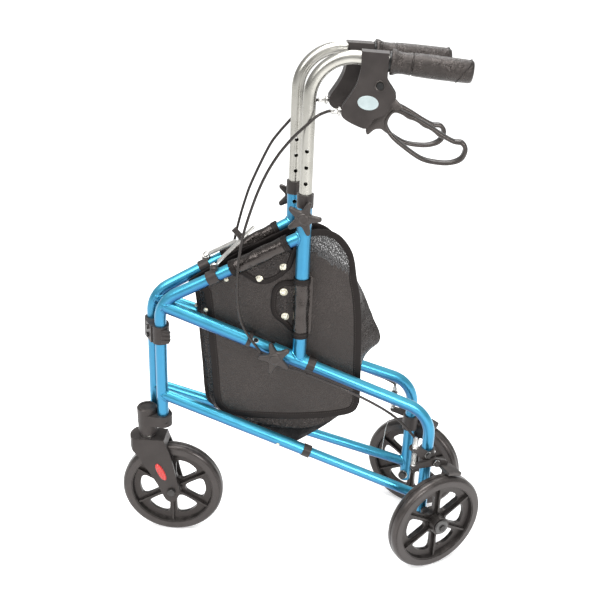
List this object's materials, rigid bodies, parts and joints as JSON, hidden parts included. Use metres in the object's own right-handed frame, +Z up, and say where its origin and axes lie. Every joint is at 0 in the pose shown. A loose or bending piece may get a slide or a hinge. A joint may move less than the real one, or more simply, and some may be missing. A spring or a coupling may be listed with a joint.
{
  "type": "three wheel rollator",
  "caption": "Folding wheeled walker with a swivelling front caster, braked rear wheels, height-adjustable handles, loop brake levers and a soft bag between its tubular side frames.",
  "frame": {"origin": "floor level, middle of the box that the wheels span", "axes": "+X to the walker's left, -Y forwards, +Z up"},
  "size_m": [0.3078, 0.7055, 0.9738],
  "materials": {
    "blue_tube": "bright anodised blue",
    "black_plastic": "satin black moulding",
    "tyre_rubber": "satin solid rubber",
    "grip": "soft leather-look grip",
    "silver_tube": "satin anodised",
    "steel": "zinc plated",
    "vinyl": "pebbled vinyl",
    "cable_sheath": "satin sheath",
    "snap_metal": "pearl silver"
  },
  "bodies": {
    "left_frame": {"left_main_tube": "blue_tube", "left_post": "blue_tube", "left_side_rails": "blue_tube", "left_tube_bushes": "black_plastic", "left_link_clamp": "black_plastic", "left_brake_cable": "cable_sheath", "left_bag_panel": "vinyl", "left_bag_straps": "vinyl", "left_snaps": "snap_metal", "head_block": "black_plastic", "upper_bracket": "black_plastic", "hinge_bolts": "steel", "bag_gusset": "vinyl"},
    "right_frame": {"right_main_tube": "blue_tube", "right_post": "blue_tube", "right_side_rails": "blue_tube", "right_tube_bushes": "black_plastic", "right_link_clamp": "black_plastic", "right_brake_cable": "cable_sheath", "right_bag_panel": "vinyl", "right_bag_straps": "vinyl", "right_snaps": "snap_metal"},
    "left_link": {"left_link": "steel", "pull_tab": "black_plastic"},
    "right_link": {"right_link": "steel"},
    "caster": {"caster_fork": "black_plastic", "caster_hardware": "steel"},
    "front_wheel": {"front_tyre": "tyre_rubber", "front_rim": "black_plastic"},
    "left_rear": {"left_rear_leg": "blue_tube", "left_rear_brace": "blue_tube", "left_brake_bracket": "black_plastic", "left_brake_spring": "steel", "left_wheel_axle": "steel"},
    "left_wheel": {"left_tyre": "tyre_rubber", "left_rim": "black_plastic"},
    "left_brake_arm": {"left_brake_arm": "black_plastic"},
    "left_handle": {"left_handle_tube": "silver_tube", "left_lever_housing": "black_plastic", "left_lever_pin": "steel", "left_grip": "grip"},
    "left_lever": {"left_brake_lever": "black_plastic"},
    "left_height_knob": {"left_height_knob": "black_plastic"},
    "left_rail_knob": {"left_rail_knob": "black_plastic"},
    "right_rear": {"right_rear_leg": "blue_tube", "right_rear_brace": "blue_tube", "right_brake_bracket": "black_plastic", "right_brake_spring": "steel", "right_wheel_axle": "steel"},
    "right_wheel": {"right_tyre": "tyre_rubber", "right_rim": "black_plastic"},
    "right_brake_arm": {"right_brake_arm": "black_plastic", "right_wire_tail": "steel"},
    "right_handle": {"right_handle_tube": "silver_tube", "right_lever_housing": "black_plastic", "right_lever_pin": "steel", "right_grip": "grip"},
    "right_lever": {"right_brake_lever": "black_plastic"},
    "right_height_knob": {"right_height_knob": "black_plastic"},
    "right_rail_knob": {"right_rail_knob": "black_plastic"}
  },
  "joints": [
    {"name": "fold", "type": "hinge", "parent": "left_frame", "child": "right_frame", "pos_m": [-0.01827, -0.28742, 0.265], "axis": [0, 0, 1], "range_deg": [-5, 55], "deforming": ["bag_gusset"]},
    {"name": "left_link_pivot", "type": "hinge", "parent": "left_frame", "child": "left_link", "pos_m": [0.02612, -0.16871, 0.58335], "axis": [-0.74, -0.06, 0.67], "range_deg": [-10.1, 110.6]},
    {"name": "right_link_pivot", "type": "hinge", "parent": "right_frame", "child": "right_link", "pos_m": [-0.02612, -0.18773, 0.58335], "axis": [0.5893, -0.1198, 0.799], "range_deg": [-100.5, 9.2]},
    {"name": "caster_swivel", "type": "hinge", "parent": "left_frame", "child": "caster", "pos_m": [0.01154, -0.30009, 0.23], "axis": [0, 0, 1], "continuous": true},
    {"name": "front_wheel_spin", "type": "hinge", "parent": "caster", "child": "front_wheel", "pos_m": [0.01403, -0.25265, 0.1], "axis": [0.9986, -0.0523, 0], "continuous": true},
    {"name": "left_leg_slide", "type": "slide", "parent": "left_frame", "child": "left_rear", "axis": [0.0735, 0.9344, -0.3486], "range_m": [0, 0.04], "deforming": ["left_brake_cable"]},
    {"name": "left_wheel_spin", "type": "hinge", "parent": "left_rear", "child": "left_wheel", "pos_m": [0.09872, 0.26088, 0.1], "axis": [0.887, 0.4617, 0], "continuous": true},
    {"name": "left_brake_pivot", "type": "hinge", "parent": "left_rear", "child": "left_brake_arm", "pos_m": [0.07998, 0.25226, 0.221], "axis": [-0.887, -0.4617, 0], "range_deg": [0, 5], "deforming": ["left_brake_spring"]},
    {"name": "left_height_slide", "type": "slide", "parent": "left_frame", "child": "left_handle", "axis": [0, 0, 1], "range_m": [-0.084, 0.028], "deforming": ["left_brake_cable"]},
    {"name": "left_lever_pivot", "type": "hinge", "parent": "left_handle", "child": "left_lever", "pos_m": [0.0473, 0.10046, 0.917], "axis": [0.9969, -0.0785, 0], "range_deg": [0, 18], "stiffness_Nm_per_rad": 0.6, "springref_deg": -8.59, "deforming": ["left_brake_spring"]},
    {"name": "left_height_knob_turn", "type": "hinge", "parent": "left_frame", "child": "left_height_knob", "pos_m": [0.05114, -0.01269, 0.691], "axis": [0.9969, -0.0785, 0], "continuous": true},
    {"name": "left_rail_knob_turn", "type": "hinge", "parent": "left_frame", "child": "left_rail_knob", "pos_m": [0.04928, -0.05417, 0.42167], "axis": [0.9969, -0.0785, 0], "continuous": true},
    {"name": "right_leg_slide", "type": "slide", "parent": "right_frame", "child": "right_rear", "axis": [-0.0735, 0.9344, -0.3486], "range_m": [0, 0.04], "deforming": ["right_brake_cable"]},
    {"name": "right_wheel_spin", "type": "hinge", "parent": "right_rear", "child": "right_wheel", "pos_m": [-0.09872, 0.24186, 0.1], "axis": [-0.887, 0.4617, 0], "continuous": true},
    {"name": "right_brake_pivot", "type": "hinge", "parent": "right_rear", "child": "right_brake_arm", "pos_m": [-0.07998, 0.23324, 0.221], "axis": [-0.887, 0.4617, 0], "range_deg": [0, 5], "deforming": ["right_brake_spring"]},
    {"name": "right_height_slide", "type": "slide", "parent": "right_frame", "child": "right_handle", "axis": [0, 0, 1], "range_m": [-0.084, 0.028], "deforming": ["right_brake_cable"]},
    {"name": "right_lever_pivot", "type": "hinge", "parent": "right_handle", "child": "right_lever", "pos_m": [-0.0473, 0.08144, 0.917], "axis": [0.9969, 0.0785, 0], "range_deg": [0, 18], "stiffness_Nm_per_rad": 0.6, "springref_deg": -8.59, "deforming": ["right_brake_spring"]},
    {"name": "right_height_knob_turn", "type": "hinge", "parent": "right_frame", "child": "right_height_knob", "pos_m": [-0.05114, -0.03171, 0.691], "axis": [-0.9969, -0.0785, 0], "continuous": true},
    {"name": "right_rail_knob_turn", "type": "hinge", "parent": "right_frame", "child": "right_rail_knob", "pos_m": [-0.04928, -0.0732, 0.42167], "axis": [-0.9969, -0.0785, 0], "continuous": true}
  ],
  "couplings": [
    {"joint": "left_link_pivot", "follows": "fold", "ratio": 2.01},
    {"joint": "right_link_pivot", "follows": "fold", "ratio": -1.826},
    {"joint": "left_brake_pivot", "follows": "left_lever_pivot", "ratio": 0.27778},
    {"joint": "right_brake_pivot", "follows": "right_lever_pivot", "ratio": 0.27778}
  ]
}
